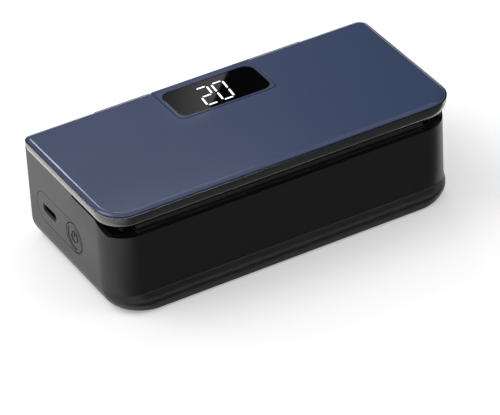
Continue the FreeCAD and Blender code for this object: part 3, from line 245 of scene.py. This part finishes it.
def pick_edges(piece, choose):
    """Select the edges that choose(first end, second end, in mm) accepts."""
    shape(piece)
    bpy.ops.mesh.select_mode(type="EDGE")
    mesh = bmesh.from_edit_mesh(piece.data)
    for edge in mesh.edges:
        edge.select_set(bool(choose(edge.verts[0].co / MM, edge.verts[1].co / MM)))
    mesh.select_flush_mode()
    bmesh.update_edit_mesh(piece.data)


def done():
    bpy.ops.object.mode_set(mode="OBJECT")


def apply(piece, kind, **settings):
    """Add a modifier and apply it."""
    deselect()
    piece.select_set(True)
    bpy.context.view_layer.objects.active = piece
    modifier = piece.modifiers.new(kind.lower(), kind)
    for name, value in settings.items():
        setattr(modifier, name, value)
    bpy.ops.object.modifier_apply(modifier=modifier.name)


def soften(piece, width, segments=3, angle=35):
    """Break every sharp edge by width in mm and shade the result smoothly."""
    apply(piece, "BEVEL", width=width * MM, segments=segments, limit_method="ANGLE",
          angle_limit=math.radians(angle), harden_normals=False)
    deselect()
    piece.select_set(True)
    bpy.context.view_layer.objects.active = piece
    bpy.ops.object.shade_smooth_by_angle(angle=math.radians(40))
    apply(piece, "WEIGHTED_NORMAL", keep_sharp=True, weight=100)


def cut_away(piece, *tools):
    """Boolean difference; the cutters are removed."""
    for tool in tools:
        apply(piece, "BOOLEAN", operation="DIFFERENCE", object=tool, solver="EXACT")
        bpy.data.objects.remove(tool)


def joined(name, pieces):
    deselect()
    for piece in pieces:
        piece.select_set(True)
    bpy.context.view_layer.objects.active = pieces[0]
    if len(pieces) > 1:
        bpy.ops.object.join()
    return named(name)


def copy_at(piece, name, shift):
    """Copy with its own mesh, moved by shift in mm."""
    twin = piece.copy()
    twin.data = piece.data.copy()
    twin.name = twin.data.name = name
    bpy.context.scene.collection.objects.link(twin)
    twin.location = Vector(shift) * MM
    return settle(twin)


def place(piece, body, slot, *nodes):
    """Finish a piece: its material, the body it rides on and the CAD nodes it stands for."""
    piece.data.materials.clear()
    piece.data.materials.append(FINISH[slot])
    if nodes:
        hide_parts(*nodes)
    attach(piece, body)
    return piece


def box_mm(node):
    low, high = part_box(node)
    return low / MM, high / MM


# ------------------------------------------------------------------ pieces
def make_button():
    """Round push button: a shallow dish inside a raised ring, with an on/off sign in relief."""
    low, high = box_mm("power_button")
    face, y, z, size = low.x, (low.y + high.y) / 2, (low.z + high.z) / 2, 7.5
    cap = rod("power_button_cap", (face, y, z), 3.6, size, "X", 96)
    outer = lambda middle, normal: normal.x < -0.9 and (middle - Vector((face, y, z))).length < 0.6
    for inset, sink in ((0.9, 0), (0.3, 0.35), (0.55, 0), (0.3, -0.2), (2.0, 0.12)):
        pick_faces(cap, lambda middle, normal: normal.x < -0.5
                   and abs(middle.y - y) < 0.05 and abs(middle.z - z) < 0.05)
        bpy.ops.mesh.inset(thickness=inset * MM)
        bpy.ops.transform.translate(value=(sink * MM, 0, 0))
        done()
    soften(cap, 0.08, 2)
    flange = rod("button_flange", (face + 3.7, y, z), 1.0, 8.4, "X", 96)
    soften(flange, 0.15, 2)
    stem = rod("button_stem", (face + 4.7, y, z), high.x - face - 4.7, 1.5, "X", 48)
    soften(stem, 0.15, 2)
    deselect()
    bpy.ops.mesh.primitive_torus_add(major_radius=3.0 * MM, minor_radius=0.38 * MM,
                                     major_segments=72, minor_segments=12,
                                     location=Vector((face + 0.3, y, z)) * MM,
                                     rotation=(0, math.pi / 2, 0))
    ring = named("button_sign_ring")
    gap = lambda p: p.z - z > 0 and abs(p.y - y) < 1.25
    shape(ring)
    bpy.ops.mesh.select_mode(type="VERT")
    mesh = bmesh.from_edit_mesh(ring.data)
    for vertex in mesh.verts:
        vertex.select_set(gap(vertex.co / MM))
    bmesh.update_edit_mesh(ring.data)
    bpy.ops.mesh.delete(type="VERT")
    bpy.ops.mesh.select_mode(type="EDGE")
    bpy.ops.mesh.select_all(action="DESELECT")
    bpy.ops.mesh.select_non_manifold()
    bpy.ops.mesh.fill_holes(sides=0)
    done()
    bar = rod("button_sign_bar", (face + 0.3, y, z + 0.5), 3.2, 0.38, "Z", 16)
    soften(bar, 0.2, 3)
    deselect()
    ring.select_set(True)
    bpy.context.view_layer.objects.active = ring
    bpy.ops.object.shade_smooth_by_angle(angle=math.radians(50))
    whole = joined("power_button_cap", [cap, flange, stem, ring, bar])
    place(whole, "button", "body_black", "power_button")


def make_charge_port():
    """Charging socket: a drawn metal shell with a rolled lip, and a contact tongue inside."""
    low, high = box_mm("charge_port")
    shell = block("charge_port_shell", low, high)
    pick_edges(shell, lambda a, b: abs(a.y - b.y) < 0.01 and abs(a.z - b.z) < 0.01)
    bpy.ops.mesh.bevel(offset=1.6 * MM, segments=10, affect="EDGES")
    pick_faces(shell, lambda middle, normal: normal.x < -0.9)
    bpy.ops.mesh.inset(thickness=0.3 * MM)
    bpy.ops.mesh.extrude_region_move(
        TRANSFORM_OT_translate={"value": ((high.x - low.x - 1.2) * MM, 0, 0)})
    done()
    soften(shell, 0.07, 2)
    place(shell, "base", "nickel", "charge_port")
    middle = (low.y + high.y) / 2
    front = box_mm("side_panel")[0].x
    lip = block("charge_port_lip", (front + 0.35, middle - 6.65, 22.15),
                (low.x - 0.15, middle + 6.65, 26.65))
    pick_edges(lip, lambda a, b: abs(a.y - b.y) < 0.01 and abs(a.z - b.z) < 0.01)
    bpy.ops.mesh.bevel(offset=2.2 * MM, segments=12, affect="EDGES")
    pick_faces(lip, lambda centre, normal: abs(normal.x) > 0.9)
    bpy.ops.mesh.inset(thickness=0.75 * MM)
    bpy.ops.mesh.bridge_edge_loops()
    done()
    soften(lip, 0.2, 3)
    place(lip, "base", "body_black")
    tongue = block("charge_port_tongue", (low.x + 1.0, middle - 3.2, 24.05),
                   (high.x - 1.3, middle + 3.2, 24.75))
    soften(tongue, 0.12, 2)
    place(tongue, "base", "part_black")
    first = block("charge_contact_0", (low.x + 1.6, middle - 2.85, 24.0),
                  (low.x + 5.2, middle - 2.6, 24.1))
    soften(first, 0.02, 1)
    contacts = [first] + [copy_at(first, f"charge_contact_{n}", (0, 0.5 * n, 0))
                          for n in range(1, 12)]
    contacts += [copy_at(item, f"charge_contact_top_{n}", (0, 0, 0.7))
                 for n, item in enumerate(list(contacts))]
    place(joined("charge_port_contacts", contacts), "base", "nickel")


def make_feet():
    """Rubber foot: a domed disc with a shallow cup under it, so that it grips."""
    low, high = box_mm("foot_front_left")
    middle = (low + high) / 2
    foot = rod("foot_front_left_pad", (middle.x, middle.y, low.z), high.z - low.z, 5.5, "Z", 64)
    for inset, lift in ((0.7, 0), (0.5, 0.45), (0.8, 0), (0.3, -0.3), (0.8, 0), (0.3, 0.4)):
        pick_faces(foot, lambda centre, normal: normal.z < -0.5
                   and abs(centre.x - middle.x) < 0.05 and abs(centre.y - middle.y) < 0.05)
        bpy.ops.mesh.inset(thickness=inset * MM)
        bpy.ops.transform.translate(value=(0, 0, lift * MM))
        done()
    soften(foot, 0.16, 3)
    for name in ("foot_front_right", "foot_rear_left", "foot_rear_right"):
        other = box_mm(name)
        shift = (other[0] + other[1]) / 2 - middle
        place(copy_at(foot, f"{name}_pad", shift), "base", "foot_rubber", name)
    place(foot, "base", "foot_rubber", "foot_front_left")


def make_screws():
    """Countersunk pan screws with a cross recess; one is modelled, the rest are copies."""
    def screw(name, x, y, head, tip, size, shank, up):
        low, high = min(head, tip), max(head, tip)
        top = rod(name, (x, y, head - 1.2 if up else head), 1.2, size, "Z", 48)
        arms = [block(f"{name}_arm_{n}", (x - a, y - b, (head - 0.75) if up else (head - 0.5)),
                      (x + a, y + b, (head + 0.5) if up else (head + 0.75)))
                for n, (a, b) in enumerate(((size * 0.55, 0.3), (0.3, size * 0.55)))]
        cut_away(top, *arms)
        soften(top, 0.12, 2)
        body = rod(f"{name}_shank", (x, y, low + (0 if up else 1.2)), high - low - 1.2, shank,
                   "Z", 32)
        soften(body, 0.2, 2)
        return joined(name, [top, body])

    for node, size, shank, up, body in (("deck_screws", 2.6, 1.4, True, "base"),
                                        ("lid_screws", 2.6, 1.4, False, "lid"),
                                        ("base_screws", 2.6, 1.4, False, "base"),
                                        ("board_screws", 2.0, 1.0, True, "base")):
        spots = loose_middles(node)
        low, high = box_mm(node)
        head, tip = (high.z, low.z) if up else (low.z, high.z)
        first = screw(f"{node}_set", *spots[0], head, tip, size, shank, up)
        rest = [copy_at(first, f"{node}_{n}", (x - spots[0][0], y - spots[0][1], 0))
                for n, (x, y) in enumerate(spots[1:], start=1)]
        place(joined(f"{node}_set", [first] + rest), body, "steel", node)


def loose_middles(node):
    """Plan middles in mm of the separate solids in a CAD node."""
    mesh = bmesh.new()
    mesh.from_mesh(NODES[node].data)
    bmesh.ops.remove_doubles(mesh, verts=mesh.verts, dist=1e-6)
    spots, seen = [], set()
    for vertex in mesh.verts:
        if vertex in seen:
            continue
        island, queue = [], [vertex]
        seen.add(vertex)
        while queue:
            here = queue.pop()
            island.append(here.co / MM)
            for edge in here.link_edges:
                other = edge.other_vert(here)
                if other not in seen:
                    seen.add(other)
                    queue.append(other)
        xs, ys = [p.x for p in island], [p.y for p in island]
        spots.append(((min(xs) + max(xs)) / 2, (min(ys) + max(ys)) / 2))
    mesh.free()
    return sorted(spots)


def make_seals():
    """Sponge rings in their grooves: a flat ring with a rounded crown on its free side."""
    for node, body, up in (("lower_seal", "base", True), ("lid_seal", "lid", False)):
        low, high = box_mm(node)
        ring = block(f"{node}_ring", low, high)
        pick_edges(ring, lambda a, b: abs(a.x - b.x) < 0.01 and abs(a.y - b.y) < 0.01)
        bpy.ops.mesh.bevel(offset=8 * MM, segments=12, affect="EDGES")
        pick_faces(ring, lambda middle, normal: abs(normal.z) > 0.9)
        bpy.ops.mesh.inset(thickness=5 * MM)
        bpy.ops.mesh.bridge_edge_loops()
        done()
        side = 1 if up else -1
        crown = high.z if up else low.z
        pick_edges(ring, lambda a, b: abs(a.z - crown) < 0.01 and abs(b.z - crown) < 0.01
                   and not spans_ring(a, b))
        bpy.ops.mesh.bevel(offset=1.3 * MM, segments=5, affect="EDGES")
        done()
        deselect()
        ring.select_set(True)
        bpy.context.view_layer.objects.active = ring
        bpy.ops.object.shade_smooth_by_angle(angle=math.radians(50))
        place(ring, body, "seal_silicone", node)


def spans_ring(a, b):
    """True for an edge that crosses the ring's width rather than running along it."""
    return 4.5 < (a - b).length < 8.5 and not (abs(a.x - b.x) < 0.01 or abs(a.y - b.y) < 0.01)


def make_pressure_strip():
    """Silicone bar over the heater: two shallow grooves run along its pressing face."""
    low, high = box_mm("pressure_strip")
    strip = block("pressure_strip_bar", low, high)
    for shift in (-1.4, 1.4):
        y = (low.y + high.y) / 2 + shift
        groove = block("groove", (low.x - 1, y - 0.35, low.z - 0.5), (high.x + 1, y + 0.35,
                                                                      low.z + 0.3))
        cut_away(strip, groove)
    soften(strip, 0.25, 3)
    place(strip, "lid", "seal_silicone", "pressure_strip")


def window_outline(name, grow, low_z, high_z):
    """Slab of the display window's outline, wider all round by grow mm."""
    low, high = box_mm("display_lens")
    slab = block(name, (low.x - grow, low.y - grow, low_z),
                 (high.x + grow, high.y + grow, high_z))
    pick_edges(slab, lambda a, b: abs(a.x - b.x) < 0.01 and abs(a.y - b.y) < 0.01)
    bpy.ops.mesh.bevel(offset=(5.6 + grow) * MM, segments=16, affect="EDGES")
    done()
    return slab


def make_lens():
    """Smoked window: a rounded slab whose polished rim catches the light."""
    low, high = box_mm("display_lens")
    lens = window_outline("display_window", 0, low.z, high.z - 0.03)
    pick_faces(lens, lambda middle, normal: normal.z > 0.9)
    bpy.ops.mesh.inset(thickness=0.3 * MM)
    done()
    soften(lens, 0.2, 3)
    place(lens, "base", "display_glass", "display_lens")


def make_housing():
    """Painted block round the display, with its edges broken."""
    housing = merged_copy("display_housing", "display_bezel")
    soften(housing, 0.14, 3, 30)
    place(housing, "base", "lid_paint", "display_housing")


def make_plate():
    """Lacquered panel: a slab with a falling, rounded edge, and the rib and bosses under it."""
    inset, low_z, high_z = 0.8, 55.3, 56.6
    plate = block("lid_plate", (-95 + inset, -45.2 + inset, low_z), (95 - inset, 42.8 - inset,
                                                                  high_z))
    for front, size in ((True, 13.8), (False, 3.9)):
        pick_edges(plate, lambda a, b: abs(a.z - b.z) > 1 and (a.y < 0) == front)
        bpy.ops.mesh.bevel(offset=size * MM, segments=16 if front else 8, affect="EDGES")
        done()
    pick_faces(plate, lambda middle, normal: normal.z > 0.9)
    bpy.ops.mesh.inset(thickness=1.6 * MM)
    bpy.ops.transform.translate(value=(0, 0, 0.8 * MM))
    bpy.ops.mesh.select_all(action="SELECT")
    done()
    pick_faces(plate, lambda middle, normal: middle.z > low_z + 0.05)
    bpy.ops.transform.translate(value=(0, 0, -0.8 * MM))
    done()
    pick_edges(plate, lambda a, b: a.z > high_z - 0.01 and b.z > high_z - 0.01)
    bpy.ops.mesh.bevel(offset=0.7 * MM, segments=5, affect="EDGES")
    done()
    notch = block("notch", (-25.55, 11.72, 54), (28.75, 50, 58))
    pick_edges(notch, lambda a, b: abs(a.z - b.z) > 1 and a.y < 20)
    bpy.ops.mesh.bevel(offset=3.85 * MM, segments=10, affect="EDGES")
    done()
    cut_away(plate, notch)
    soften(plate, 0.16, 3, 38)
    under = merged_copy("lid_top_plate", "lid_rib")
    shape(under)
    bpy.ops.mesh.select_all(action="SELECT")
    bpy.ops.mesh.bisect(plane_co=(0, 0, (low_z - 0.01) * MM), plane_no=(0, 0, 1),
                        clear_outer=True, use_fill=True)
    done()
    place(joined("lid_plate", [plate, under]), "lid", "lid_paint", "lid_top_plate")


def make_digits():
    """Lit bars of a plain number, each a slim bar with pointed ends, leaning to the right."""
    low, high = box_mm("digit_segments")
    middle = (low.y + high.y) / 2
    width, height, stroke, gap, lean = 6.1, 15.4, 1.0, 0.62, 0.11
    bars = []
    first = low.x + 0.65 + lean * (height / 2 - 0.65 - 0.35)
    for left, lit in ((first, "abged"), (first + 8.7, "abcdef")):
        ends = {"a": (0, 1, 1, 1), "b": (1, 0, 1, 1), "c": (1, -1, 1, 0), "d": (0, -1, 1, -1),
                "e": (0, -1, 0, 0), "f": (0, 0, 0, 1), "g": (0, 0, 1, 0)}
        for letter in lit:
            x0, y0, x1, y1 = ends[letter]
            start = Vector((left + x0 * width + y0 * height / 2 * lean,
                            middle + y0 * height / 2))
            end = Vector((left + x1 * width + y1 * height / 2 * lean,
                          middle + y1 * height / 2))
            spot, run = (start + end) / 2, end - start
            deselect()
            bpy.ops.mesh.primitive_cube_add(
                size=1, location=(spot.x * MM, spot.y * MM, (low.z + high.z) / 2 * MM),
                rotation=(0, 0, math.atan2(run.y, run.x)),
                scale=((run.length - 2 * gap) * MM, stroke * MM, (high.z - low.z) * MM))
            bar = named(f"digit_bar_{len(bars)}")
            pick_edges(bar, lambda a, b: abs(a.z - b.z) > 1)
            bpy.ops.mesh.bevel(offset=0.46 * stroke * MM, segments=1, affect="EDGES")
            done()
            soften(bar, 0.05, 1)
            bars.append(bar)
    place(joined("digit_bars", bars), "base", "digit_white", "digit_segments")


def merged_copy(node, name):
    """Copy of a CAD node's mesh with its loose triangles joined into flat faces."""
    piece = NODES[node].copy()
    piece.data = NODES[node].data.copy()
    piece.name = piece.data.name = name
    piece.parent = None
    bpy.context.scene.collection.objects.link(piece)
    shape(piece)
    bpy.ops.mesh.customdata_custom_splitnormals_clear()
    bpy.ops.mesh.select_all(action="SELECT")
    bpy.ops.mesh.remove_doubles(threshold=0.002 * MM)
    bpy.ops.mesh.dissolve_limited(angle_limit=math.radians(0.5))
    done()
    return settle(piece)


def crisp(node, width, segments=3, angle=30):
    """A CAD node keeps its mesh; live modifiers only break its sharp edges."""
    piece = NODES[node]
    weld = piece.modifiers.new("weld", "WELD")
    weld.merge_threshold = 0.002 * MM
    flat = piece.modifiers.new("flat_faces", "DECIMATE")
    flat.decimate_type, flat.angle_limit = "DISSOLVE", math.radians(0.5)
    edge = piece.modifiers.new("edge_break", "BEVEL")
    edge.width, edge.segments = width * MM, segments
    edge.limit_method, edge.angle_limit = "ANGLE", math.radians(angle)
    shading = piece.modifiers.new("shading", "WEIGHTED_NORMAL")
    shading.weight = 80


make_button()
make_charge_port()
make_feet()
make_screws()
make_seals()
make_pressure_strip()
make_lens()
make_housing()
make_digits()
make_plate()
crisp("body_shell", 0.25, 2, 40)
crisp("side_panel", 0.22, 2, 40)


# ------------------------------------------------------------------ stage, light, camera
def eye_ray(tree):
    """1 for what the camera sees directly, in a mirror or through glass."""
    path = add_node(tree, "ShaderNodeLightPath")
    first = add_node(tree, "ShaderNodeMath", {"operation": "MAXIMUM"}, {
        0: path.outputs["Is Camera Ray"], 1: path.outputs["Is Glossy Ray"]})
    return add_node(tree, "ShaderNodeMath", {"operation": "MAXIMUM"}, {
        0: first.outputs[0], 1: path.outputs["Is Transmission Ray"]}).outputs[0]


def studio_floor():
    """Pale floor that keeps the object's shadow."""
    deselect()
    bpy.ops.mesh.primitive_circle_add(vertices=96, radius=6.0, fill_type="NGON")
    floor = bpy.context.object
    floor.name = "studio_floor"
    material = bpy.data.materials.new("matt_white_paper")
    material.use_nodes = True
    tree = material.node_tree
    tree.nodes.clear()
    matt = add_node(tree, "ShaderNodeBsdfDiffuse", inputs={"Color": linear("#f4f4f4")})
    level = add_node(tree, "ShaderNodeMath", {"operation": "MULTIPLY"},
                     {0: eye_ray(tree), 1: 0.3})
    lift = add_node(tree, "ShaderNodeEmission", inputs={"Strength": level.outputs[0]})
    both = add_node(tree, "ShaderNodeAddShader", inputs={0: matt.outputs[0], 1: lift.outputs[0]})
    add_node(tree, "ShaderNodeOutputMaterial", inputs={"Surface": both.outputs[0]})
    floor.data.materials.append(material)


def studio_world():
    world = bpy.data.worlds.new("studio")
    bpy.context.scene.world = world
    world.use_nodes = True
    tree = world.node_tree
    tree.nodes.clear()
    level = add_node(tree, "ShaderNodeMapRange", inputs={
        "Value": eye_ray(tree), "To Min": 0.58, "To Max": 1.0})
    back = add_node(tree, "ShaderNodeBackground", inputs={"Strength": level.outputs["Result"]})
    add_node(tree, "ShaderNodeOutputWorld", inputs={"Surface": back.outputs[0]})


def toward(direction, distance):
    return Vector(direction).normalized() * distance


def softbox(name, spot, size, power, aim=(0, 0, 0.03)):
    light = bpy.data.lights.new(name, "AREA")
    light.shape = "RECTANGLE"
    light.size, light.size_y = size
    light.energy = power
    lamp = bpy.data.objects.new(name, light)
    lamp.location = spot
    lamp.rotation_euler = (Vector(aim) - Vector(spot)).to_track_quat("-Z", "Y").to_euler()
    bpy.context.scene.collection.objects.link(lamp)
    return lamp


def reflector(name, corners, shade, fade=None):
    """Studio card that shows only in glossy surfaces, as a flag or a grey board does.
    fade: (point, point, shade) for a shade that changes between two points in metres."""
    mesh = bpy.data.meshes.new(name)
    mesh.from_pydata([tuple(c) for c in corners], [], [tuple(range(len(corners)))])
    card = bpy.data.objects.new(name, mesh)
    bpy.context.scene.collection.objects.link(card)
    material = bpy.data.materials.new(name)
    material.use_nodes = True
    tree = material.node_tree
    tree.nodes.clear()
    glow = add_node(tree, "ShaderNodeEmission", inputs={"Strength": shade})
    if fade:
        start, end, other = Vector(fade[0]), Vector(fade[1]), fade[2]
        along = end - start
        spot = add_node(tree, "ShaderNodeTexCoord").outputs["Object"]
        share = add_node(tree, "ShaderNodeVectorMath", {"operation": "DOT_PRODUCT"}, {
            0: spot, 1: along / along.length_squared})
        from_start = start.dot(along) / along.length_squared
        level = add_node(tree, "ShaderNodeMapRange", {"interpolation_type": "SMOOTHSTEP"}, {
            "Value": share.outputs["Value"], "From Min": from_start,
            "From Max": from_start + 1, "To Min": shade, "To Max": other})
        tree.links.new(level.outputs["Result"], glow.inputs["Strength"])
    add_node(tree, "ShaderNodeOutputMaterial", inputs={"Surface": glow.outputs[0]})
    mesh.materials.append(material)
    card.visible_camera = card.visible_diffuse = card.visible_shadow = False
    card.visible_transmission = False


def facing_card(name, direction, distance, width, height, shade):
    """Upright card square to the object, seen from it in the given direction."""
    middle = toward(direction, distance) + Vector((0, 0, 0.03))
    back = Vector(direction).normalized()
    side = back.cross(Vector((0, 0, 1))).normalized()
    up = side.cross(back)
    reflector(name, [middle + side * a * width / 2 + up * b * height / 2
                     for a, b in ((-1, -1), (1, -1), (1, 1), (-1, 1))], shade)


EYE = Vector((-0.65985, -1.23943, 0.96351))


def mirrored(x, y, distance, z=56.5):
    """Where the eye's ray, mirrored by a level surface at (x, y, z) in mm, has got to."""
    spot = Vector((x, y, z)) * MM
    ray = (spot - EYE).normalized()
    return spot + Vector((ray.x, ray.y, -ray.z)) * distance


def sheen_card():
    """Grey board whose straight edge shows as the slanted line across the display window."""
    near, far, back, front = [mirrored(x, y, 0.6) for x, y in (
        (-12.8, 9.4), (16.3, 38.7), (-27.5, 38.7), (-27.5, 9.4))]
    reflector("grey_board", [near, far, back, front], 0.75, ((near + far) / 2, back, 0.2))


def camera():
    """Three-quarter view from the front left and above, with a long lens and a slight roll."""
    turn, tilt, roll = math.radians(-28.1358), math.radians(34.3725), math.radians(-3.298)
    right = Vector((math.cos(turn), math.sin(turn), 0))
    up = Vector((-math.sin(turn) * math.sin(tilt), math.cos(turn) * math.sin(tilt),
                 math.cos(tilt)))
    back = right.cross(up)
    rolled = math.cos(roll) * right + math.sin(roll) * up
    rolled_up = -math.sin(roll) * right + math.cos(roll) * up
    data = bpy.data.cameras.new("camera")
    data.sensor_width, data.lens = 36, 252.47
    data.clip_start, data.clip_end = 0.05, 50
    eye = bpy.data.objects.new("camera", data)
    eye.matrix_world = (Matrix.Translation(EYE)
                        @ Matrix((rolled, rolled_up, back)).transposed().to_4x4())
    bpy.context.scene.collection.objects.link(eye)
    bpy.context.scene.camera = eye


studio_floor()
studio_world()
softbox("key", (-0.9, 0.55, 1.25), (1.2, 1.2), 12)
softbox("fill", (0.9, -0.8, 1.1), (0.9, 0.9), 2.5)
softbox("edge_strip", toward((0.126, 0.728, 0.673), 1.1), (0.6, 0.06), 1.3)
softbox("front_strip", toward((0.389, 0.436, 0.812), 1.1), (0.6, 0.04), 0.25)
facing_card("flag_back", (0.389, 0.728, 0.565), 1.5, 2.4, 1.5, 0.02)
facing_card("flag_left", (-0.62, 0.75, 0.22), 1.3, 1.2, 0.75, 0.03)
facing_card("flag_front", (0.5, -0.6, 0.75), 1.5, 1.8, 1.2, 0.08)
reflector("flag_low", [Vector(p) for p in ((-0.16, -0.05, 0.0006), (-0.16, -0.6, 0.0006),
                                           (0.5, -0.6, 0.0006), (0.5, -0.05, 0.0006))],
          0.95, ((-0.15, 0, 0), (-0.07, 0, 0), 0.14))
sheen_card()
camera()
bpy.context.scene.view_settings.view_transform = "Standard"
